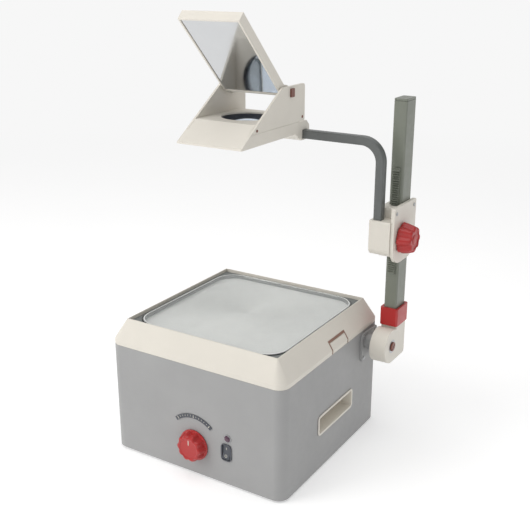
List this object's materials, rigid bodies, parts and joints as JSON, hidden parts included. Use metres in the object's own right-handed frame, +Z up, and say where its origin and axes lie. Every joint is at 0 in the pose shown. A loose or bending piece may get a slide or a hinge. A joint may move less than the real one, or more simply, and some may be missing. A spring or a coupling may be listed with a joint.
{
  "type": "overhead projector",
  "caption": "Box-bodied overhead projector with a hinged glass stage, a folding post beside it, a rack-and-pinion focus carriage, an offset square arm and a tilting mirror head.",
  "frame": {"origin": "centre of the stage glass's top face, where the optical axis crosses the transparency; the feet stand 243.3 mm below it", "axes": "+Z up, -Y the control panel side the beam leaves towards, +X the side with the post; the lens axis is the Z axis"},
  "size_m": [0.4378, 0.3735, 0.7575],
  "materials": {
    "body_grey": "fine textured satin grey paint",
    "bracket_grey": "satin grey enamel on steel, to match the body",
    "galvanised_sheet": "dull zinc-plated sheet",
    "rubber": "matte",
    "cream_plastic": "satin moulded, warm off-white",
    "dark_plastic": "satin moulded, dark grey",
    "indicator_violet": "glossy dark violet lens",
    "red_plastic": "semi-gloss moulded red",
    "steel": "plated, satin",
    "bright_reflector": "polished spun reflector",
    "lens_glass": "clear polished",
    "stage_glass": "clear toughened plate",
    "front_mirror": "front-surface mirror",
    "post_paint": "satin greenish grey enamel",
    "arm_paint": "satin dark grey enamel",
    "brown_screw": "brown lacquered, satin",
    "nylon": "natural nylon",
    "ceramic": "unglazed steatite",
    "copper": "enamelled copper winding with tape",
    "core_steel": "varnished laminations"
  },
  "bodies": {
    "chassis": {"body_shell": "body_grey", "base_plate": "galvanised_sheet", "foot_front_left": "rubber", "foot_front_right": "rubber", "foot_rear_left": "rubber", "foot_rear_right": "rubber", "side_grip_right": "cream_plastic", "side_grip_left": "cream_plastic", "dial_scale": "dark_plastic", "power_indicator": "indicator_violet", "switch_bezel": "dark_plastic", "latch_keeper": "steel", "body_hinge_leaf_front": "steel", "body_hinge_leaf_rear": "steel", "lamp_reflector": "bright_reflector", "lamp_house": "galvanised_sheet", "condenser_ring": "galvanised_sheet", "condenser_lens": "lens_glass", "heat_glass": "lens_glass", "lamp_rail": "steel", "fan_frame": "dark_plastic", "transformer_core": "core_steel", "transformer_coil": "copper", "power_inlet": "dark_plastic", "hinge_bracket": "bracket_grey", "pivot_bolt": "brown_screw"},
    "stage": {"stage_frame": "cream_plastic", "stage_tray": "dark_plastic", "stage_glass": "stage_glass", "fresnel_lens": "lens_glass", "stage_hinge_leaf_front": "steel", "stage_hinge_leaf_rear": "steel"},
    "latch": {"latch_button": "cream_plastic"},
    "post": {"hinge_knuckle": "cream_plastic", "post": "post_paint", "post_cap": "post_paint", "focus_rack": "post_paint"},
    "collar": {"lock_collar": "red_plastic"},
    "carriage": {"carriage_housing": "cream_plastic", "carriage_cover": "cream_plastic", "arm_tube": "arm_paint", "head_base": "cream_plastic", "head_cheek_right": "cream_plastic", "head_cheek_left": "cream_plastic", "lens_barrel": "dark_plastic", "objective_lens": "lens_glass", "mirror_pin": "brown_screw"},
    "focus_knob": {"focus_shaft": "steel", "focus_knob": "red_plastic"},
    "mirror": {"mirror_frame": "cream_plastic", "mirror_pad": "rubber", "mirror_glass": "front_mirror"},
    "lamp_knob": {"lamp_knob": "red_plastic", "lamp_shaft": "nylon"},
    "lamp_carriage": {"lamp_slide": "galvanised_sheet", "lamp_socket_block": "ceramic", "lamp_main": "lens_glass", "lamp_spare": "lens_glass"},
    "fan_rotor": {"fan_rotor": "dark_plastic"},
    "rocker": {"power_rocker": "dark_plastic"}
  },
  "joints": [
    {"name": "post_fold", "type": "hinge", "parent": "chassis", "child": "post", "pos_m": [0.212, 0.118, -0.0623], "axis": [-1, 0, 0], "range_deg": [0, 90]},
    {"name": "collar_slide", "type": "slide", "parent": "post", "child": "collar", "axis": [0, 0, 1], "range_m": [0, 0.028]},
    {"name": "focus_slide", "type": "slide", "parent": "post", "child": "carriage", "axis": [0, 0, 1], "range_m": [-0.06, 0.1]},
    {"name": "focus_turn", "type": "hinge", "parent": "carriage", "child": "focus_knob", "pos_m": [0.24, 0.123, 0.1407], "axis": [1, 0, 0], "range_deg": [-766, 460]},
    {"name": "mirror_tilt", "type": "hinge", "parent": "carriage", "child": "mirror", "pos_m": [0, 0.038, 0.3827], "axis": [1, 0, 0], "range_deg": [-35, 45]},
    {"name": "stage_lift", "type": "hinge", "parent": "chassis", "child": "stage", "pos_m": [-0.1782, 0, -0.0393], "axis": [0, -1, 0], "range_deg": [0, 45]},
    {"name": "latch_press", "type": "slide", "parent": "stage", "child": "latch", "axis": [-1, 0, 0], "range_m": [0, 0.004]},
    {"name": "lamp_shift", "type": "slide", "parent": "chassis", "child": "lamp_carriage", "axis": [1, 0, 0], "range_m": [0, 0.0264]},
    {"name": "lamp_turn", "type": "hinge", "parent": "chassis", "child": "lamp_knob", "pos_m": [0.001, -0.17, -0.1848], "axis": [0, 1, 0], "range_deg": [0, 84.2]},
    {"name": "rocker_tilt", "type": "hinge", "parent": "chassis", "child": "rocker", "pos_m": [0.0665, -0.1695, -0.1793], "axis": [1, 0, 0], "range_deg": [0, 16]},
    {"name": "fan_spin", "type": "hinge", "parent": "chassis", "child": "fan_rotor", "pos_m": [-0.06, 0.146, -0.1713], "axis": [0, 1, 0], "continuous": true}
  ],
  "couplings": [
    {"joint": "focus_turn", "follows": "focus_slide", "rad_per_m": -133.33},
    {"joint": "lamp_turn", "follows": "lamp_shift", "rad_per_m": 55.556}
  ]
}
